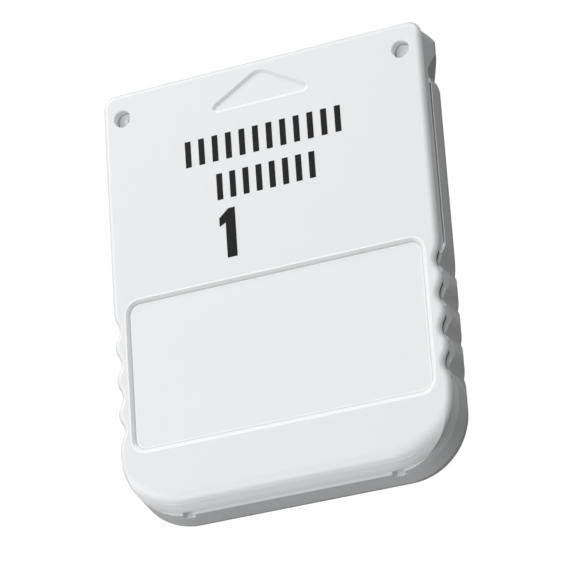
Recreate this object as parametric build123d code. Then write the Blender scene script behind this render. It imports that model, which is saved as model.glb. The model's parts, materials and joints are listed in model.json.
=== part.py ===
from build123d import *
import math
import os

os.makedirs("parts", exist_ok=True)

# Console memory card, lying on its back.
# Origin: middle of the footprint, on the resting face. +Y is the contact end,
# +Z is the front face. Millimetres.

# ---------------------------------------------------------------- dimensions
CARD_W = 42.0            # over the guide rails
CARD_L = 54.5
CARD_T = 7.0
TOP_R = 1.85             # plan radius of the two corners at the contact end
LOW_R = 7.55             # plan radius of the two corners at the held end
REAR_ROUND = 2.60        # rounding of the resting face's edge, rails and held end
END_ROUND = 1.80         # the same at the contact end
HELD_IN = 0.46           # the held end leans in by this much from the widest line to the joint

# front cover
LID_ROUND = 0.75         # rounding of the face's edge
LID_LOW_ROUND = 2.50     # fuller rounding along the held end
LID_LOW_R = 8.30         # plan radius of the front cover's corners at the held end
LID_EDGE_Z = 5.60        # lower edge of the front cover's rim at the held end
LID_PLATE_Z = 5.80       # underside of the front cover's plate

# grip: smooth waves on the front cover, lobes meeting in creases on the rear cover
WAVE_PITCH = 4.15
WAVE_DEPTH = 0.62
WAVE_FIRST = -3.05       # Y of the first hollow
WAVE_COUNT = 4
WAVE_R = 1.75
WAVE_IN = -0.60          # Y where the plain side ends
WAVE_OUT = -17.90        # Y where the plain side starts again
LOBE_PITCH = 4.18
LOBE_DEPTH = 0.66
LOBE_FIRST = -3.28       # Y of the first crease
LOBE_IN, LOBE_OUT = -0.30, -18.30

# writing field
FIELD_HW = 18.76         # floor half width
FIELD_Y0, FIELD_Y1 = -18.24, -0.21
FIELD_DEPTH = 0.32
FIELD_SLOPE = 0.46       # plan width of the sloping wall
FIELD_R = 1.35           # floor corner radius
FIELD_EDGE = 0.20        # softening of the field's upper edge

# arrow
ARROW_HW = 8.00          # to the sharp corners, before they are rounded
ARROW_Y0, ARROW_Y1 = 21.53, 26.13
ARROW_R, ARROW_TIP_R = 0.63, 2.20
ARROW_DEPTH = 0.26
ARROW_SLOPE = 0.36

# posts and their holes
POST_X, POST_Y = 18.33, 23.82
POST_D, POST_HOLE_D = 2.04, 2.14
POST_TOP_Z = 6.02

# rear cover
RIM_Z = 5.53             # top of the rear cover's outer rim at the held end
LEDGE_Z = 5.75           # inner ledge that carries the front cover's plate
RIM_T = 1.40             # rim thickness outside the front cover's plug
WALL_T = 2.20            # wall thickness below the ledge
FLOOR_Z = 1.20
JOINT_UP = 0.85          # the joint lies this much higher along the sides
JOINT_Y0, JOINT_Y1 = -26.40, -20.30   # and climbs between these
RIM_IN = 0.30            # the rim stands back this much from the sides, at the joint
GAP_Z, GAP_IN = 6.05, 0.50      # shadow gap along the grip
FOLLOW_Z, FOLLOW = 5.60, 0.40   # from here up the grip's rim leans in to follow the front cover's waves

# side wall and guide rail
WIDE_Z = 2.70            # height of the widest line
WALL_X = 20.90           # side wall at the widest line
WALL_TOP_X = 20.55       # side wall at the joint
RAIL_Z = 4.70            # top of the rail
RAIL_END_Y, RAIL_END_R = 21.70, 2.30
MOAT_X0, MOAT_X1, MOAT_D = 20.66, 20.88, 0.70   # narrow slot between the wall's foot and the rail's lip
RUN_Y0, RUN_Y1 = -0.60, -2.60   # the rail's top runs up to the joint between these

# ramp in front of the rail's rounded end
RAMP_K = 0.26            # inward slope along Y
RAMP_Y, RAMP_TILT = 26.30, 0.825   # the ramp starts at RAMP_Y - RAMP_TILT * z on the side wall

# contact end
WINDOW_Z0, WINDOW_Z1 = 1.50, 5.40
WINDOW_HW = 15.60
RIB_X, RIB_T = 5.40, 1.20
RIB_Y0 = 21.20

# snap windows in the held end
SNAP_X = 13.20
SNAP_W = 1.56
SNAP_Z0, SNAP_Z1 = 4.72, 5.75

# circuit board
PCB_T = 1.20
PCB_Z = 2.20
PCB_HW = 16.20
PCB_Y0, PCB_Y1 = -21.0, 24.20
PCB_TIP_Y = 26.60
PIN_X, PIN_Y, PIN_D, PIN_HOLE_D = 13.40, -18.0, 1.40, 1.70

FINGER_X = (-13.9, -10.8, -7.7, -2.3, 2.3, 7.7, 10.8, 13.9)
FINGER_W, FINGER_Y0, FINGER_Y1, FINGER_T = 2.2, 18.4, 26.35, 0.05

HW = CARD_W / 2
YT, YB = CARD_L / 2, -CARD_L / 2
PCB_TOP = PCB_Z + PCB_T


# ------------------------------------------------------------------- helpers
def plan(hw, yt, yb, rt, rb):
    """Rounded outline with one radius at the contact end and one at the held end."""
    k = math.sqrt(0.5)
    edges = [
        Line((hw, yb + rb), (hw, yt - rt)),
        ThreePointArc((hw, yt - rt), (hw - rt + rt * k, yt - rt + rt * k), (hw - rt, yt)),
        Line((hw - rt, yt), (-hw + rt, yt)),
        ThreePointArc((-hw + rt, yt), (-hw + rt - rt * k, yt - rt + rt * k), (-hw, yt - rt)),
        Line((-hw, yt - rt), (-hw, yb + rb)),
        ThreePointArc((-hw, yb + rb), (-hw + rb - rb * k, yb + rb - rb * k), (-hw + rb, yb)),
        Line((-hw + rb, yb), (hw - rb, yb)),
        ThreePointArc((hw - rb, yb), (hw - rb + rb * k, yb + rb - rb * k), (hw, yb + rb)),
    ]
    return make_face(edges)


def s_curve(x0, y0, y1, d, r_hollow):
    """From a crest at y0 down to a hollow at y1, both tangent to the side."""
    h = abs(y1 - y0)
    s = 1 if y1 < y0 else -1
    total = (h * h + d * d) / (2 * d)
    r2 = min(r_hollow, total * 0.6)
    r1 = total - r2
    t = r1 / total
    jx, jy = x0 - d * t, y0 - s * h * t
    th = math.asin(h * t / r1)
    m1 = (x0 - r1 + r1 * math.cos(th / 2), y0 - s * r1 * math.sin(th / 2))
    m2 = (x0 - d + r2 - r2 * math.cos(th / 2), y1 + s * r2 * math.sin(th / 2))
    crest, hollow = (x0, y0), (x0 - d, y1)
    return [ThreePointArc(crest, m1, (jx, jy)), ThreePointArc((jx, jy), m2, hollow)], \
           [ThreePointArc(hollow, m2, (jx, jy)), ThreePointArc((jx, jy), m1, crest)]


def wave_face(x0):
    """What the grip's hollows take away on the +X side."""
    edges = []
    crest = WAVE_IN
    for i in range(WAVE_COUNT):
        hollow = WAVE_FIRST - i * WAVE_PITCH
        nxt = WAVE_OUT if i == WAVE_COUNT - 1 else hollow - WAVE_PITCH / 2
        edges += s_curve(x0, crest, hollow, WAVE_DEPTH, WAVE_R)[0]
        edges += s_curve(x0, nxt, hollow, WAVE_DEPTH, WAVE_R)[1]
        crest = nxt
    edges += [Line((x0, WAVE_OUT), (x0 + 2, WAVE_OUT)),
              Line((x0 + 2, WAVE_OUT), (x0 + 2, WAVE_IN)),
              Line((x0 + 2, WAVE_IN), (x0, WAVE_IN))]
    return make_face(edges)


def lobe_face(x0):
    """What the grip's creases take away on the rear cover, +X side: convex lobes between sharp creases."""
    d, edges = LOBE_DEPTH, []
    at = [LOBE_FIRST - i * LOBE_PITCH for i in range(WAVE_COUNT)]
    h = LOBE_IN - at[0]
    edges.append(ThreePointArc((x0, LOBE_IN), (x0 - d * 0.25, LOBE_IN - h * 0.5), (x0 - d, at[0])))
    for y0, y1 in zip(at, at[1:]):
        edges.append(ThreePointArc((x0 - d, y0), (x0, (y0 + y1) / 2), (x0 - d, y1)))
    h = at[-1] - LOBE_OUT
    edges.append(ThreePointArc((x0 - d, at[-1]), (x0 - d * 0.25, LOBE_OUT + h * 0.5), (x0, LOBE_OUT)))
    edges += [Line((x0, LOBE_OUT), (x0 + 2, LOBE_OUT)),
              Line((x0 + 2, LOBE_OUT), (x0 + 2, LOBE_IN)),
              Line((x0 + 2, LOBE_IN), (x0, LOBE_IN))]
    return make_face(edges)


def both(shape):
    return [shape, mirror(shape, about=Plane.YZ)]


def slab(face, z0, z1):
    return extrude(Pos(0, 0, z0) * face, amount=z1 - z0, dir=(0, 0, 1))


def box(x0, x1, y0, y1, z0, z1):
    return Pos((x0 + x1) / 2, (y0 + y1) / 2, (z0 + z1) / 2) * Box(x1 - x0, y1 - y0, z1 - z0)


def rod(x, y, d, z0, z1):
    return Pos(x, y, (z0 + z1) / 2) * Cylinder(d / 2, z1 - z0)


def minus(a, *cuts):
    for c in cuts:
        for s in (c if isinstance(c, list) else [c]):
            a = a - s
    return a


def plus(a, *adds):
    for c in adds:
        for s in (c if isinstance(c, list) else [c]):
            a = a + s
    return a


def save(shape, name):
    export_step(shape, "parts/%s.step" % name)


# --------------------------------------------------------------- front cover
lid_yb = YB + HELD_IN
SIDE_EDGE_Z, SIDE_RIM_Z = LID_EDGE_Z + JOINT_UP, RIM_Z + JOINT_UP


def across(points):
    """Outline in Y and Z, drawn across the whole width."""
    face = make_face(Polyline(*points, close=True))
    return extrude(Plane(origin=(-HW - 3, 0, 0), x_dir=(0, 1, 0), z_dir=(1, 0, 0)) * face, amount=2 * HW + 6)


lid = slab(plan(HW, YT, lid_yb, TOP_R, LID_LOW_R), LID_EDGE_Z - 1, CARD_T)
lid = minus(lid, both(slab(wave_face(HW), LID_EDGE_Z - 2, CARD_T + 1)))
lid = fillet(lid.edges().filter_by(lambda e: e.bounding_box().min.Z > CARD_T - 1e-4), LID_ROUND)

# the face rolls over more fully along the held end
roll = slab(plan(HW + 3.2, YT + 6, lid_yb, 4.0, LID_LOW_R + 3.2), LID_EDGE_Z - 2, CARD_T)
roll = fillet(roll.edges().filter_by(lambda e: e.bounding_box().min.Z > CARD_T - 1e-4), LID_LOW_ROUND)
lid = lid & roll

# the joint climbs from the held end to the sides
lid = lid - across([(YT + 3, LID_EDGE_Z - 2), (YT + 3, SIDE_EDGE_Z), (JOINT_Y1, SIDE_EDGE_Z),
                    (JOINT_Y0, LID_EDGE_Z), (YB - 3, LID_EDGE_Z), (YB - 3, LID_EDGE_Z - 2)])

plug_hw = HW - RIM_T - 0.10
plug = slab(plan(plug_hw, YT - RIM_T - 0.10, YB + RIM_T + 0.10, 0.9, LOW_R - RIM_T - 0.10),
            LID_PLATE_Z, SIDE_EDGE_Z + 0.1)
lid = lid + plug

# writing field: sloping wall down to a flat floor
field_h = FIELD_Y1 - FIELD_Y0
field_c = (FIELD_Y0 + FIELD_Y1) / 2
f_low = Pos(0, field_c, CARD_T - FIELD_DEPTH) * RectangleRounded(2 * FIELD_HW, field_h, FIELD_R)
f_high = Pos(0, field_c, CARD_T) * RectangleRounded(2 * (FIELD_HW + FIELD_SLOPE),
                                                    field_h + 2 * FIELD_SLOPE, FIELD_R + FIELD_SLOPE)
field = loft([f_low, f_high])
lid = lid - field


# arrow: floor outline with three rounded corners, drawn up to the face along a sloping wall
a_rise = (ARROW_Y1 - ARROW_Y0) / ARROW_HW
a_tip, a_base = ARROW_Y1 - ARROW_SLOPE * math.sqrt(1 + a_rise ** 2), ARROW_Y0 + ARROW_SLOPE
a_hw = (a_tip - a_base) / a_rise
a_floor = make_face(Polyline((-a_hw, a_base), (a_hw, a_base), (0, a_tip), close=True))
a_floor = fillet([v for v in a_floor.vertices() if abs(v.X) > 1], ARROW_R - ARROW_SLOPE)
a_floor = fillet([v for v in a_floor.vertices() if v.Y > a_tip - 0.1], ARROW_TIP_R - ARROW_SLOPE)
lid = lid - extrude(Pos(0, 0, CARD_T - ARROW_DEPTH) * a_floor, amount=ARROW_DEPTH + 0.2, dir=(0, 0, 1),
                    taper=-math.degrees(math.atan(ARROW_SLOPE / ARROW_DEPTH)))

# post holes, with a softened rim
for sx in (-1, 1):
    lid = lid - rod(sx * POST_X, POST_Y, POST_HOLE_D, LID_PLATE_Z - 1, CARD_T + 1)
rims = [e for e in lid.edges().filter_by(GeomType.CIRCLE)
        if abs(e.radius - POST_HOLE_D / 2) < 1e-3 and e.center().Z > CARD_T - 1e-3
        and abs(abs(e.arc_center.X) - POST_X) < 1e-3]
lid = fillet(rims, 0.14)

# the field's upper edge is softened
up = [e for e in lid.edges() if e.bounding_box().min.Z > CARD_T - 1e-4
      and abs(e.center().X) < FIELD_HW + FIELD_SLOPE + 0.05
      and FIELD_Y0 - FIELD_SLOPE - 0.05 < e.center().Y < FIELD_Y1 + FIELD_SLOPE + 0.05
      and e.bounding_box().min.Y > FIELD_Y0 - FIELD_SLOPE - 0.05]
up = [e for e in up if abs(e.bounding_box().max.X) < FIELD_HW + FIELD_SLOPE + 0.02]
lid = fillet(up, FIELD_EDGE)

# bosses that hold the board down, and the two snap hooks at the held end
snap_zm = (SNAP_Z0 + SNAP_Z1) / 2
for sx in (-1, 1):
    lid = lid + rod(sx * 14.6, 8.0, 2.2, PCB_TOP + 0.05, LID_PLATE_Z + 0.1)
    lid = lid + rod(sx * 14.6, -12.0, 2.2, PCB_TOP + 0.05, LID_PLATE_Z + 0.1)
    hook = box(sx * SNAP_X - 0.9, sx * SNAP_X + 0.9, YB + WALL_T + 0.35, YB + WALL_T + 1.15, 4.00, LID_PLATE_Z + 0.1)
    barb = box(sx * SNAP_X - 0.60, sx * SNAP_X + 0.60, YB + 0.95, YB + WALL_T + 0.45, snap_zm - 0.33, snap_zm + 0.30)
    barb = chamfer([e for e in barb.edges().filter_by(Axis.X) if e.center().Y < YB + 1.0 and e.center().Z < snap_zm], 0.30)
    lid = lid + hook + barb
save(lid, "front_cover")


# ---------------------------------------------------------------- rear cover
def bottom_edges(shape):
    return shape.edges().filter_by(lambda e: e.bounding_box().max.Z < 1e-4)


def leaning(low, high, z0, z1):
    return loft([Pos(0, 0, z0) * low, Pos(0, 0, z1) * high], ruled=True)


# body: side walls and contact end
core = slab(plan(WALL_X, YT, YB + 1.5, TOP_R, LOW_R), 0, WIDE_Z)
core = fillet(bottom_edges(core), END_ROUND)
trim = slab(plan(WALL_X, YT + 12, YB + 1.5, 4.0, LOW_R), 0, WIDE_Z + 1)
trim = fillet(bottom_edges(trim), REAR_ROUND)
core = core & trim
core = core + leaning(plan(WALL_X, YT, YB + 1.5, TOP_R, LOW_R), plan(WALL_TOP_X, YT, YB + 1.5, TOP_R, LOW_R), WIDE_Z, SIDE_RIM_Z)

# ramp in front of each rail's end, under the level of the rail's top
ramp_n = Vector(1, -RAMP_K, -RAMP_K * RAMP_TILT)
ramp_plane = Plane(origin=(WALL_X, RAMP_Y, 0), x_dir=(RAMP_K, 1, 0), z_dir=ramp_n)
ramp = ramp_plane * Pos(0, 0, 4) * Box(40, 40, 8)
ramp = ramp & box(17.0, HW + 2, RAIL_END_Y - 2.2, YT + 1, -1, RAIL_Z)
core = minus(core, both(ramp))

# rails, grip and held end
rails = slab(plan(HW, RAIL_END_Y, YB, RAIL_END_R, LOW_R), 0, WIDE_Z)
rails = fillet(bottom_edges(rails), REAR_ROUND)
part_way = (RAIL_Z - WIDE_Z) / (SIDE_RIM_Z - WIDE_Z)
rail_low = plan(HW, RAIL_END_Y, YB, RAIL_END_R, LOW_R)
rail_mid = plan(HW, RAIL_END_Y, YB + HELD_IN * part_way, RAIL_END_R, LOW_R + (LID_LOW_R - LOW_R) * part_way)
rail_top = plan(HW - RIM_IN, RAIL_END_Y, YB + HELD_IN, RAIL_END_R, LID_LOW_R)
rails = rails + leaning(rail_low, rail_mid, WIDE_Z, RAIL_Z) + leaning(rail_mid, rail_top, RAIL_Z, SIDE_RIM_Z)
step = make_face([Line((YT + 2, RAIL_Z), (YT + 2, SIDE_RIM_Z + 1)), Line((YT + 2, SIDE_RIM_Z + 1), (RUN_Y1, SIDE_RIM_Z + 1)),
                  Line((RUN_Y1, SIDE_RIM_Z + 1), (RUN_Y1, SIDE_RIM_Z - 0.20)), Line((RUN_Y1, SIDE_RIM_Z - 0.20), (RUN_Y0, RAIL_Z)),
                  Line((RUN_Y0, RAIL_Z), (YT + 2, RAIL_Z))])
step = extrude(Plane(origin=(-HW - 3, 0, 0), x_dir=(0, 1, 0), z_dir=(1, 0, 0)) * step, amount=2 * HW + 6)
rails = rails - step
rear = core + rails

# narrow slot along the wall's foot, behind the rail's lip
rear = minus(rear, both(box(MOAT_X0, MOAT_X1, RUN_Y0 + 0.3, RAIL_END_Y - RAIL_END_R + 0.4, RAIL_Z - MOAT_D, RAIL_Z + 0.01)))

# the held end's rim stops lower than the sides
rear = rear - across([(YB - 3, RIM_Z + 2), (YB - 3, RIM_Z), (JOINT_Y0, RIM_Z), (JOINT_Y1, SIDE_RIM_Z), (JOINT_Y1, RIM_Z + 2)])

# hollow inside, ledge and rim for the front cover's plate
cav = slab(plan(HW - WALL_T, YT - 2.9, YB + WALL_T, 0.8, LOW_R - WALL_T), FLOOR_Z, SIDE_RIM_Z + 1)
seat = slab(plan(HW - RIM_T, YT - RIM_T, YB + RIM_T, 1.0, LOW_R - RIM_T), LEDGE_Z, SIDE_RIM_Z + 1)
rear = minus(rear, both(slab(lobe_face(HW), -1, SIDE_RIM_Z + 1)), cav, seat)

# the grip's rim leans in to follow the front cover's waves
follow = extrude(Pos(0, 0, FOLLOW_Z) * wave_face(HW - RIM_IN + FOLLOW), amount=SIDE_RIM_Z - FOLLOW_Z, dir=(0, 0, 1),
                 taper=-math.degrees(math.atan(FOLLOW / (SIDE_RIM_Z - FOLLOW_Z))))
rear = minus(rear, both(follow))
# and a shadow gap runs under the front cover's edge there
rear = minus(rear, both(slab(wave_face(HW - GAP_IN), GAP_Z, SIDE_RIM_Z + 1)))

# contact windows in the end wall, ribs between them
for x0, x1 in ((-WINDOW_HW, -RIB_X - RIB_T / 2), (-RIB_X + RIB_T / 2, RIB_X - RIB_T / 2),
               (RIB_X + RIB_T / 2, WINDOW_HW)):
    rear = rear - box(x0, x1, YT - 4, YT + 1, WINDOW_Z0, WINDOW_Z1)
for sx in (-1, 1):
    rear = rear + box(sx * RIB_X - RIB_T / 2, sx * RIB_X + RIB_T / 2, RIB_Y0, YT - 2.8, FLOOR_Z - 0.1, WINDOW_Z1)
    # posts seen in the front cover's holes
    post = rod(sx * POST_X, POST_Y, POST_D, FLOOR_Z - 0.1, POST_TOP_Z)
    rear = rear + fillet(post.edges().filter_by(GeomType.CIRCLE).sort_by(Axis.Z)[-1:], 0.15)
    # board rests and locating pins
    rear = rear + box(sx * 14.0 - 0.6, sx * 14.0 + 0.6, -16.0, 16.0, FLOOR_Z - 0.1, PCB_Z)
    rear = rear + rod(sx * PIN_X, PIN_Y, 2.6, FLOOR_Z - 0.1, PCB_Z)
    rear = rear + rod(sx * PIN_X, PIN_Y, PIN_D, FLOOR_Z - 0.1, PCB_TOP + 0.5)
    # snap windows
    win = RectangleRounded(SNAP_W, SNAP_Z1 - SNAP_Z0, 0.50)
    win = extrude(Plane(origin=(sx * SNAP_X, YB - 1, snap_zm), x_dir=(1, 0, 0), z_dir=(0, 1, 0)) * win, amount=WALL_T + 1.5)
    rear = rear - win
    rear = rear - box(sx * SNAP_X - SNAP_W / 2, sx * SNAP_X + SNAP_W / 2, YB + RIM_T, YB + WALL_T + 0.5,
                      snap_zm, LEDGE_Z + 0.2)
# moulding pip on one post
rear = rear + Pos(-POST_X + 0.12, POST_Y - 0.02, POST_TOP_Z - 0.06) * Sphere(0.30)
save(rear, "rear_cover")

# ------------------------------------------------------------- circuit board
pcb = box(-PCB_HW, PCB_HW, PCB_Y0, PCB_Y1, PCB_Z, PCB_TOP)
pcb = fillet(pcb.edges().filter_by(Axis.Z), 0.8)
for x0, x1 in ((-WINDOW_HW + 0.3, -RIB_X - RIB_T / 2 - 0.3), (-RIB_X + RIB_T / 2 + 0.3, RIB_X - RIB_T / 2 - 0.3),
               (RIB_X + RIB_T / 2 + 0.3, WINDOW_HW - 0.3)):
    tip = box(x0, x1, PCB_Y1 - 1.5, PCB_TIP_Y, PCB_Z, PCB_TOP)
    tip = chamfer([e for e in tip.edges().filter_by(Axis.X) if e.center().Y > PCB_TIP_Y - 0.01], 0.25)
    pcb = pcb + tip
for sx in (-1, 1):
    pcb = pcb - box(sx * RIB_X - RIB_T / 2 - 0.3, sx * RIB_X + RIB_T / 2 + 0.3, RIB_Y0 - 0.3, PCB_TIP_Y + 1,
                    PCB_Z - 1, PCB_TOP + 1)
    pcb = pcb - rod(sx * PIN_X, PIN_Y, PIN_HOLE_D, PCB_Z - 1, PCB_TOP + 1)
save(pcb, "circuit_board")

fingers = []
for x in FINGER_X:
    f = box(x - FINGER_W / 2, x + FINGER_W / 2, FINGER_Y0, FINGER_Y1 - 0.05, PCB_TOP, PCB_TOP + FINGER_T)
    f = fillet([e for e in f.edges().filter_by(Axis.Z) if e.center().Y < FINGER_Y0 + 0.01], 0.7)
    fingers.append(f)
save(Compound(fingers), "contact_fingers")


# ----------------------------------------------------------------- components
def lead(x_in, x_out, y, w, z_body, t=0.15, foot=0.55):
    """Gull-wing lead along X, from the package wall at x_in to its toe at x_out."""
    s = 1 if x_out > x_in else -1
    xk = x_out - s * foot
    pts = [(x_in, z_body), (xk - s * 0.02, z_body), (xk - s * 0.02, PCB_TOP), (x_out, PCB_TOP),
           (x_out, PCB_TOP + t), (xk - s * 0.02 + s * t, PCB_TOP + t), (xk - s * 0.02 + s * t, z_body + t),
           (x_in, z_body + t)]
    edges = [Line((a[0], a[1]), (b[0], b[1])) for a, b in zip(pts, pts[1:] + pts[:1])]
    face = make_face(edges)
    sol = extrude(Plane(origin=(0, y + w / 2, 0), x_dir=(1, 0, 0), z_dir=(0, -1, 0)) * face, amount=w)
    return sol


def package(cx, cy, lx, ly, z0, h, draft=0.18, pin1=True):
    """Moulded chip body with drafted sides and an index dimple."""
    zm = z0 + h * 0.5
    a = Pos(cx, cy, z0) * Rectangle(lx - 2 * draft, ly - 2 * draft)
    m = Pos(cx, cy, zm) * Rectangle(lx, ly)
    b = Pos(cx, cy, z0 + h) * Rectangle(lx - 2 * draft, ly - 2 * draft)
    body = loft([a, m]) + loft([m, b])
    if pin1:
        body = body - rod(cx - lx / 2 + 1.1, cy - ly / 2 + 1.1, 0.9, z0 + h - 0.10, z0 + h + 1)
    return body


# memory chip: two rows of leads along Y
MEM = (-7.2, 3.2, 8.6, 13.4)
mem = package(MEM[0], MEM[1], MEM[2], MEM[3], PCB_TOP + 0.12, 1.85)
save(mem, "memory_chip")
mem_z = PCB_TOP + 0.12 + 1.85 * 0.5 - 0.075
leads = []
for i in range(10):
    y = MEM[1] + (i - 4.5) * 1.27
    for s in (-1, 1):
        leads.append(lead(MEM[0] + s * MEM[2] / 2, MEM[0] + s * (MEM[2] / 2 + 1.25), y, 0.42, mem_z))
save(Compound(leads), "memory_chip_leads")

# controller chip: leads on four sides
CON = (7.6, 3.0, 9.0)
con = package(CON[0], CON[1], CON[2], CON[2], PCB_TOP + 0.12, 1.45)
save(con, "controller_chip")
con_z = PCB_TOP + 0.12 + 1.45 * 0.5 - 0.075
leads = []
for i in range(11):
    o = (i - 5) * 0.75
    for s in (-1, 1):
        leads.append(lead(CON[0] + s * CON[2] / 2, CON[0] + s * (CON[2] / 2 + 1.15), CON[1] + o, 0.30, con_z))
        side = lead(s * CON[2] / 2, s * (CON[2] / 2 + 1.15), o, 0.30, con_z)
        leads.append(Pos(CON[0], CON[1], 0) * (Rot(0, 0, 90) * side))
save(Compound(leads), "controller_chip_leads")


def chip(cx, cy, lx, ly, h, cap, along_x=True):
    """Two-ended chip component: middle body and its two metal ends."""
    if along_x:
        body = box(cx - lx / 2 + cap, cx + lx / 2 - cap, cy - ly / 2, cy + ly / 2, PCB_TOP, PCB_TOP + h)
        ends = [box(cx - lx / 2, cx - lx / 2 + cap, cy - ly / 2, cy + ly / 2, PCB_TOP, PCB_TOP + h),
                box(cx + lx / 2 - cap, cx + lx / 2, cy - ly / 2, cy + ly / 2, PCB_TOP, PCB_TOP + h)]
    else:
        body = box(cx - ly / 2, cx + ly / 2, cy - lx / 2 + cap, cy + lx / 2 - cap, PCB_TOP, PCB_TOP + h)
        ends = [box(cx - ly / 2, cx + ly / 2, cy - lx / 2, cy - lx / 2 + cap, PCB_TOP, PCB_TOP + h),
                box(cx - ly / 2, cx + ly / 2, cy + lx / 2 - cap, cy + lx / 2, PCB_TOP, PCB_TOP + h)]
    return body, ends


caps = [chip(-8.6, 13.6, 2.0, 1.25, 0.85, 0.42), chip(3.4, 13.6, 2.0, 1.25, 0.85, 0.42),
        chip(7.6, -6.2, 2.0, 1.25, 0.85, 0.42), chip(-12.6, -8.6, 2.0, 1.25, 0.85, 0.42, False)]
save(Compound([c[0] for c in caps]), "chip_capacitors")
save(Compound([e for c in caps for e in c[1]]), "chip_capacitor_ends")

ress = [chip(x, 16.2, 1.6, 0.8, 0.5, 0.32, False) for x in (-13.9, -10.8, -7.7, 7.7, 10.8)]
ress += [chip(2.2, -9.4, 1.6, 0.8, 0.5, 0.32), chip(2.2, -11.2, 1.6, 0.8, 0.5, 0.32)]
save(Compound([c[0] for c in ress]), "chip_resistors")
save(Compound([e for c in ress for e in c[1]]), "chip_resistor_ends")

# ceramic resonator: body with three metal straps
res = box(6.0, 13.2, -12.6, -9.4, PCB_TOP + 0.10, PCB_TOP + 1.70)
res = fillet(res.edges().filter_by(Axis.Z), 0.5)
save(res, "resonator")
straps = []
for x in (6.9, 9.6, 12.3):
    straps.append(box(x - 0.5, x + 0.5, -13.0, -9.0, PCB_TOP, PCB_TOP + 0.10))
save(Compound(straps), "resonator_terminals")

# moulded supply capacitor
cap = package(-6.4, -11.4, 3.5, 2.8, PCB_TOP + 0.10, 1.75, 0.10, False)
save(cap, "supply_capacitor")
tabs = [box(-6.4 - 2.25, -6.4 - 0.95, -12.5, -10.3, PCB_TOP, PCB_TOP + 0.10),
        box(-6.4 + 0.95, -6.4 + 2.25, -12.5, -10.3, PCB_TOP, PCB_TOP + 0.10)]
save(Compound(tabs), "supply_capacitor_terminals")

# small transistor: three leads
tra = package(-1.2, -6.0, 1.4, 2.9, PCB_TOP + 0.10, 1.0, 0.08, False)
save(tra, "transistor")
tz = PCB_TOP + 0.10 + 0.5 - 0.07
tl = [lead(-1.2 + 0.7, -1.2 + 1.3, -6.0 - 0.95, 0.4, tz, 0.12, 0.4), lead(-1.2 + 0.7, -1.2 + 1.3, -6.0 + 0.95, 0.4, tz, 0.12, 0.4),
      lead(-1.2 - 0.7, -1.2 - 1.3, -6.0, 0.4, tz, 0.12, 0.4)]
save(Compound(tl), "transistor_leads")

# small diode: two leads
dio = package(-1.4, -15.2, 2.7, 1.6, PCB_TOP + 0.10, 1.1, 0.08, False)
save(dio, "diode")
dz = PCB_TOP + 0.10 + 0.55 - 0.07
dl = [lead(-1.4 + 1.35, -1.4 + 1.95, -15.2, 0.6, dz, 0.12, 0.4), lead(-1.4 - 1.35, -1.4 - 1.95, -15.2, 0.6, dz, 0.12, 0.4)]
save(Compound(dl), "diode_leads")
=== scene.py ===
import json
import math

import bmesh
import bpy
from mathutils import Matrix, Vector


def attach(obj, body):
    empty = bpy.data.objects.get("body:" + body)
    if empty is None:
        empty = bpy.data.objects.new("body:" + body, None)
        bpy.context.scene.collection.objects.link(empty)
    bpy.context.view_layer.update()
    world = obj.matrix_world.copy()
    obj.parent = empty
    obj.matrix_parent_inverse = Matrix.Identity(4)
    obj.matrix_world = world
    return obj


MM = 0.001

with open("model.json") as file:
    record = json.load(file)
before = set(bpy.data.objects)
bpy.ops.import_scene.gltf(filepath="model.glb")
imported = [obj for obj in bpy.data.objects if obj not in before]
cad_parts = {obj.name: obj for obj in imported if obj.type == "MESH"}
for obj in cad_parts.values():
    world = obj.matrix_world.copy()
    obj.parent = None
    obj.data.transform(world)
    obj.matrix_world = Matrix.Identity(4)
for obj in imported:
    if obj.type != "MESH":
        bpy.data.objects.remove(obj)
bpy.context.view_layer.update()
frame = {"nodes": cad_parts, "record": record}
nodes = frame["nodes"]
scene = bpy.context.scene

# ---------------------------------------------------------------- materials
FACE_Z = 7.0 * MM
FIELD = (-18.60 * MM, 18.60 * MM, -18.08 * MM, -0.37 * MM)


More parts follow.
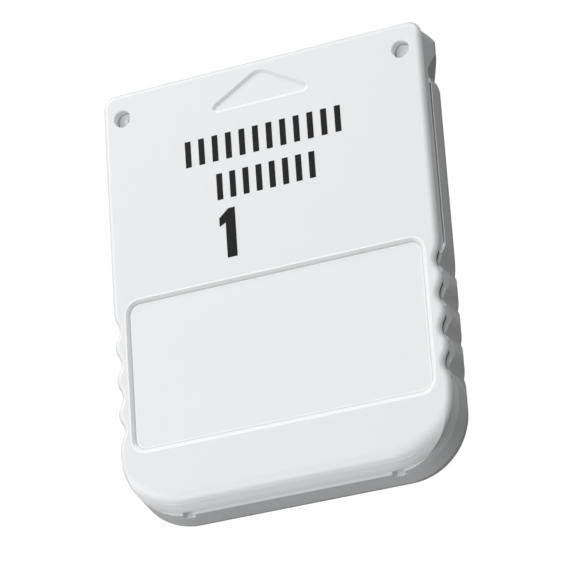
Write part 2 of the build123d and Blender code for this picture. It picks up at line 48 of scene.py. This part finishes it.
class Tree:
    """A small helper around one material's nodes."""

    def __init__(self, name):
        self.mat = bpy.data.materials.new(name)
        self.mat.use_nodes = True
        self.t = self.mat.node_tree
        self.t.nodes.clear()
        self.out = self.add("ShaderNodeOutputMaterial")
        self.bsdf = self.add("ShaderNodeBsdfPrincipled")
        self.link(self.bsdf.outputs[0], self.out.inputs["Surface"])
        self.obj = self.add("ShaderNodeTexCoord").outputs["Object"]

    def add(self, kind, **props):
        n = self.t.nodes.new(kind)
        for k, v in props.items():
            setattr(n, k, v)
        return n

    def link(self, a, b):
        self.t.links.new(a, b)

    def put(self, sock, v):
        if hasattr(v, "links"):
            self.link(v, sock)
        else:
            sock.default_value = v

    def math(self, op, a, b=0.0, clamp=False):
        n = self.add("ShaderNodeMath", operation=op, use_clamp=clamp)
        self.put(n.inputs[0], a)
        self.put(n.inputs[1], b)
        return n.outputs[0]

    def noise(self, scale, detail=2.0, rough=0.5, vec=None):
        n = self.add("ShaderNodeTexNoise")
        n.inputs["Scale"].default_value = scale
        n.inputs["Detail"].default_value = detail
        n.inputs["Roughness"].default_value = rough
        self.link(vec if vec is not None else self.obj, n.inputs["Vector"])
        return n.outputs["Fac"]

    def span(self, fac, lo, hi, a=0.0, b=1.0):
        n = self.add("ShaderNodeMapRange")
        n.clamp = True
        self.put(n.inputs["Value"], fac)
        for k, v in (("From Min", a), ("From Max", b), ("To Min", lo), ("To Max", hi)):
            self.put(n.inputs[k], v)
        return n.outputs[0]

    def mix(self, fac, a, b):
        n = self.add("ShaderNodeMix", data_type="RGBA")
        self.put(n.inputs[0], fac)
        for sock, v in ((n.inputs[6], a), (n.inputs[7], b)):
            if hasattr(v, "links"):
                self.link(v, sock)
            else:
                sock.default_value = (*v, 1.0)
        return n.outputs[2]

    def bump(self, height, strength, distance, normal=None):
        n = self.add("ShaderNodeBump")
        n.inputs["Strength"].default_value = strength
        n.inputs["Distance"].default_value = distance
        self.link(height, n.inputs["Height"])
        if normal is not None:
            self.link(normal, n.inputs["Normal"])
        return n.outputs[0]

    def set(self, **vals):
        for k, v in vals.items():
            s = self.bsdf.inputs[k.replace("_", " ")]
            if hasattr(v, "links"):
                self.link(v, s)
            else:
                s.default_value = v if not isinstance(v, tuple) else (*v, 1.0)

    def xyz(self):
        n = self.add("ShaderNodeSeparateXYZ")
        self.link(self.obj, n.inputs[0])
        return n.outputs[0], n.outputs[1], n.outputs[2]


def cover_plastic():
    """White moulded plastic: satin face, slightly finer grain on the writing field's floor; painted highlights and
    painted shade along the writing field's edges, and painted shade in the grip seam.
    """
    m = Tree("cover_plastic")
    x, y, z = m.xyz()
    # soft mask: 1 on the floor of the writing field
    inx = m.span(m.math("ABSOLUTE", x), 1.0, 0.0, FIELD[1], FIELD[1] + 0.3 * MM)
    iny = m.math("MULTIPLY", m.span(y, 0.0, 1.0, FIELD[2] - 0.3 * MM, FIELD[2]),
                 m.span(y, 1.0, 0.0, FIELD[3], FIELD[3] + 0.3 * MM))
    inz = m.math("MULTIPLY", m.span(z, 0.0, 1.0, FACE_Z - 0.38 * MM, FACE_Z - 0.35 * MM),
                 m.span(z, 1.0, 0.0, FACE_Z - 0.29 * MM, FACE_Z - 0.24 * MM))
    floor = m.math("MULTIPLY", m.math("MULTIPLY", inx, iny), inz)

    cloud = m.noise(60.0, 3.0, 0.55)
    grain = m.noise(9000.0, 2.0, 0.6)
    tone = m.mix(m.span(cloud, 0.0, 1.0, 0.3, 0.7), (0.800, 0.812, 0.822), (0.812, 0.822, 0.830))
    # distance to the foot of the writing field's wall: painted highlights on the wall's outer edge and along the
    # floor's edge, and painted shade as a dark line at the foot
    qx = m.math("SUBTRACT", m.math("ABSOLUTE", x), (18.76 - 1.35) * MM)
    qy = m.math("SUBTRACT", m.math("ABSOLUTE", m.math("ADD", y, 9.225 * MM)), (9.015 - 1.35) * MM)
    ox, oy = m.math("MAXIMUM", qx, 0.0), m.math("MAXIMUM", qy, 0.0)
    far = m.math("SQRT", m.math("ADD", m.math("MULTIPLY", ox, ox), m.math("MULTIPLY", oy, oy)))
    d = m.math("SUBTRACT", m.math("ADD", far, m.math("MINIMUM", m.math("MAXIMUM", qx, qy), 0.0)), 1.35 * MM)
    face = m.span(z, 0.0, 1.0, FACE_Z - 0.42 * MM, FACE_Z - 0.38 * MM)

    def band(a, b, c, e):
        return m.math("MULTIPLY", face, m.math("MULTIPLY", m.span(d, 0.0, 1.0, a * MM, b * MM), m.span(d, 1.0, 0.0, c * MM, e * MM)))

    # painted highlight on the writing field wall's outer edge
    tone = m.mix(band(0.44, 0.50, 0.60, 0.68), tone, (0.950, 0.955, 0.960))
    # painted highlight along the edge of the writing field's floor
    tone = m.mix(m.math("MULTIPLY", band(-0.22, -0.16, -0.09, -0.04), 0.6), tone, (0.950, 0.955, 0.960))
    # painted shade: a dark line at the foot of the writing field's wall
    tone = m.mix(band(-0.04, 0.01, 0.08, 0.16), tone, (0.640, 0.640, 0.635))
    # painted shade: the seam along the grip, under the front cover's edge, is painted darker where the cover's edge
    # shades it
    painted_seam_shade = m.math("MULTIPLY", m.span(z, 0.0, 1.0, 5.90 * MM, 6.02 * MM), m.span(z, 1.0, 0.0, 6.38 * MM, 6.42 * MM))
    painted_seam_shade = m.math("MULTIPLY", painted_seam_shade, m.span(m.math("ABSOLUTE", m.math("ADD", y, 9.6 * MM)), 1.0, 0.0, 9.0 * MM, 10.2 * MM))
    painted_seam_shade = m.math("MULTIPLY", painted_seam_shade, m.span(m.math("ABSOLUTE", x), 0.0, 1.0, 19.4 * MM, 19.6 * MM))
    tone = m.mix(painted_seam_shade, tone, (0.220, 0.215, 0.210))
    m.set(Base_Color=tone, IOR=1.50)
    rough = m.math("ADD", m.span(grain, 0.31, 0.37, 0.3, 0.7), m.math("MULTIPLY", floor, 0.10))
    m.set(Roughness=rough)
    height = m.math("MULTIPLY", grain, m.span(floor, 0.5, 1.0))
    m.set(Normal=m.bump(height, 0.20, 0.004 * MM))
    return m.mat


def board_laminate():
    """Green lacquered board; copper tracks show faintly through the lacquer."""
    m = Tree("board_laminate")
    weave = m.add("ShaderNodeTexWave", wave_type="BANDS", bands_direction="X")
    weave.inputs["Scale"].default_value = 700.0
    weave.inputs["Distortion"].default_value = 0.4
    m.link(m.obj, weave.inputs["Vector"])
    cells = m.add("ShaderNodeTexVoronoi", feature="DISTANCE_TO_EDGE")
    cells.inputs["Scale"].default_value = 300.0
    m.link(m.obj, cells.inputs["Vector"])
    track = m.span(cells.outputs["Distance"], 1.0, 0.0, 0.06, 0.12)
    base = m.mix(m.noise(2500.0), (0.020, 0.150, 0.055), (0.030, 0.185, 0.075))
    m.set(Base_Color=m.mix(track, base, (0.050, 0.235, 0.090)), Roughness=m.span(m.noise(800.0), 0.28, 0.40))
    m.set(Normal=m.bump(m.math("ADD", weave.outputs["Fac"], m.math("MULTIPLY", track, 4.0)), 0.25, 0.01 * MM))
    return m.mat


def metal(name, dark, light, r0, r1, scale):
    m = Tree(name)
    n = m.noise(scale, 3.0, 0.6)
    m.set(Base_Color=m.mix(n, dark, light), Metallic=1.0, Roughness=m.span(m.noise(scale * 3.0), r0, r1))
    m.set(Normal=m.bump(n, 0.12, 0.006 * MM))
    return m.mat


def moulded(name, dark, light, r0, r1, scale, depth=0.006):
    m = Tree(name)
    n = m.noise(scale, 3.0, 0.6)
    m.set(Base_Color=m.mix(m.noise(scale * 0.2, 2.0), dark, light), Roughness=m.span(n, r0, r1))
    m.set(Normal=m.bump(n, 0.25, depth * MM))
    return m.mat


def ink():
    m = Tree("black_ink")
    n = m.noise(2600.0, 4.0, 0.65)
    m.set(Base_Color=m.mix(m.span(n, 0.0, 1.0, 0.35, 0.75), (0.0030, 0.0030, 0.0034), (0.0075, 0.0074, 0.0074)),
          Roughness=m.span(n, 0.46, 0.60), IOR=1.45, Specular_IOR_Level=0.25)
    m.set(Normal=m.bump(n, 0.15, 0.004 * MM))
    return m.mat


mats = {
    "cover_plastic": cover_plastic(),
    "board_laminate": board_laminate(),
    "gold_plate": metal("gold_plate", (0.78, 0.52, 0.16), (0.86, 0.62, 0.24), 0.16, 0.28, 1500.0),
    "chip_plastic": moulded("chip_plastic", (0.016, 0.016, 0.017), (0.026, 0.026, 0.027), 0.45, 0.62, 5000.0),
    "tinned_metal": metal("tinned_metal", (0.58, 0.58, 0.57), (0.72, 0.72, 0.70), 0.24, 0.40, 2500.0),
    "resonator_plastic": moulded("resonator_plastic", (0.10, 0.095, 0.09), (0.15, 0.14, 0.13), 0.40, 0.55, 4000.0),
    "capacitor_plastic": moulded("capacitor_plastic", (0.50, 0.30, 0.05), (0.60, 0.38, 0.08), 0.35, 0.50, 4000.0),
    "capacitor_ceramic": moulded("capacitor_ceramic", (0.36, 0.24, 0.14), (0.48, 0.34, 0.22), 0.45, 0.60, 3500.0),
    "resistor_ceramic": moulded("resistor_ceramic", (0.020, 0.020, 0.024), (0.045, 0.045, 0.05), 0.25, 0.40, 3500.0),
}
slot_of = {s["node"]: s["material_slot"] for s in frame["record"]["subparts"]}
for name, o in nodes.items():
    for s in o.material_slots:
        s.material = mats[slot_of[name]]

# ------------------------------------------------------------ printed marking
PRINT_Z = FACE_Z + 0.004 * MM
PRINT_T = 0.010 * MM


def bar(cx, cy, w, h, r=0.07):
    """A small bar with eased corners, as points in mm."""
    pts = []
    for sx, sy, a0 in ((1, 1, 0), (-1, 1, 90), (-1, -1, 180), (1, -1, 270)):
        for k in range(4):
            a = math.radians(a0 + k * 30)
            pts.append((cx + sx * (w / 2 - r) + r * math.cos(a), cy + sy * (h / 2 - r) + r * math.sin(a)))
    return pts


shapes = []
for i in range(12):
    shapes.append(bar((i - 5.5) * 1.78, 17.05, 0.78, 3.35))
for i in range(8):
    shapes.append(bar((i - 3.5) * 1.72 + 0.1, 12.05, 0.78, 3.35))
# plain numeral
shapes.append([(-4.15, 2.90), (-4.15, 9.10), (-5.00, 9.10), (-6.25, 8.05), (-6.25, 6.95), (-5.45, 7.35), (-5.45, 2.90)])


def flat_print(name, outlines, z0, z1):
    me = bpy.data.meshes.new(name)
    bm = bmesh.new()
    for pts in outlines:
        low = [bm.verts.new((x * MM, y * MM, z0)) for x, y in pts]
        high = [bm.verts.new((x * MM, y * MM, z1)) for x, y in pts]
        bm.faces.new(high)
        bm.faces.new(low[::-1])
        n = len(pts)
        for k in range(n):
            bm.faces.new((low[k], low[(k + 1) % n], high[(k + 1) % n], high[k]))
    bmesh.ops.recalc_face_normals(bm, faces=bm.faces)
    bm.to_mesh(me)
    bm.free()
    o = bpy.data.objects.new(name, me)
    scene.collection.objects.link(o)
    return o


marking = flat_print("printed_marking", shapes, PRINT_Z, PRINT_Z + PRINT_T)
marking.data.materials.append(ink())
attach(marking, "root")

# --------------------------------------------------------------------- stage
def plane(name, size, z):
    me = bpy.data.meshes.new(name)
    s = size / 2
    me.from_pydata([(-s, -s, z), (s, -s, z), (s, s, z), (-s, s, z)], [], [(0, 1, 2, 3)])
    o = bpy.data.objects.new(name, me)
    scene.collection.objects.link(o)
    return o


def floor_material(name, glow, pale):
    m = bpy.data.materials.new(name)
    m.use_nodes = True
    t = m.node_tree
    t.nodes.clear()
    out = t.nodes.new("ShaderNodeOutputMaterial")
    add = t.nodes.new("ShaderNodeAddShader")
    em = t.nodes.new("ShaderNodeEmission")
    em.inputs["Strength"].default_value = glow
    di = t.nodes.new("ShaderNodeBsdfDiffuse")
    di.inputs["Color"].default_value = (pale, pale, pale, 1.0)
    t.links.new(em.outputs[0], add.inputs[0])
    t.links.new(di.outputs[0], add.inputs[1])
    t.links.new(add.outputs[0], out.inputs["Surface"])
    return m


floor = plane("floor", 6.0, -0.02 * MM)
floor.data.materials.append(floor_material("floor_pale", 1.0, 0.03))
floor.visible_diffuse = False
floor.visible_glossy = False
bounce = plane("floor_bounce", 6.0, -0.04 * MM)
bounce.data.materials.append(floor_material("floor_bounce", 0.0, 0.30))
bounce.visible_camera = False

LIGHTS = [
    # name, direction from the card, distance, size, power
    ("back_left", (-0.64, 0.64, 0.44), 0.80, 0.34, 2.97),
    ("back", (0.23, 0.87, 0.44), 0.80, 0.34, 2.48),
    ("left", (-0.72, 0.00, 0.69), 0.80, 0.28, 1.30),
    ("top_front", (-0.35, -0.35, 0.87), 0.80, 0.22, 1.16),
    ("front_low", (-0.50, -0.86, 0.14), 0.80, 0.34, 1.07),
    ("right_high", (0.62, -0.36, 0.69), 0.80, 0.28, 1.02),
    ("front_left", (-0.62, -0.36, 0.69), 0.80, 0.28, 0.74),
    ("back_high", (0.00, 0.72, 0.69), 0.80, 0.28, 0.46),
    ("right", (0.87, -0.23, 0.44), 0.80, 0.34, 0.29),
    ("right_back", (0.36, 0.62, 0.69), 0.80, 0.28, 0.27),
    ("left_low", (-0.86, -0.50, 0.14), 0.80, 0.34, 0.22),
    ("top_left", (-0.48, -0.13, 0.87), 0.80, 0.22, 0.21),
    ("right_front", (0.64, -0.64, 0.44), 0.80, 0.34, 0.20),
]
for name, d, dist, size, power in LIGHTS:
    li = bpy.data.lights.new(name, "AREA")
    li.shape = "SQUARE"
    li.size = size
    li.energy = power
    o = bpy.data.objects.new(name, li)
    v = Vector(d).normalized()
    o.location = v * dist
    o.rotation_mode = "QUATERNION"
    o.rotation_quaternion = v.to_track_quat("Z", "Y")
    scene.collection.objects.link(o)

world = bpy.data.worlds.new("studio")
world.use_nodes = True
world.node_tree.nodes["Background"].inputs["Color"].default_value = (1.0, 1.0, 1.0, 1.0)
world.node_tree.nodes["Background"].inputs["Strength"].default_value = 0.02
scene.world = world
scene.view_settings.view_transform = "Standard"
scene.view_settings.look = "None"

# -------------------------------------------------------------------- camera
cam_data = bpy.data.cameras.new("camera")
cam_data.sensor_fit = "HORIZONTAL"
cam_data.sensor_width = 36.0
cam_data.lens = 3309.0826 * 36.0 / 576.0
cam_data.clip_start, cam_data.clip_end = 0.01, 20.0
cam = bpy.data.objects.new("camera", cam_data)
right = Vector((0.90472915, -0.06480135, -0.42102962))
up = Vector((0.20399655, 0.93357097, 0.29467041))
back = Vector((0.37396599, -0.35248550, 0.85784813))
loc = Vector((145.41784595, -137.73902949, 336.07818058)) * MM
cam.matrix_world = Matrix(((right.x, up.x, back.x, loc.x), (right.y, up.y, back.y, loc.y),
                           (right.z, up.z, back.z, loc.z), (0, 0, 0, 1)))
scene.collection.objects.link(cam)
scene.camera = cam
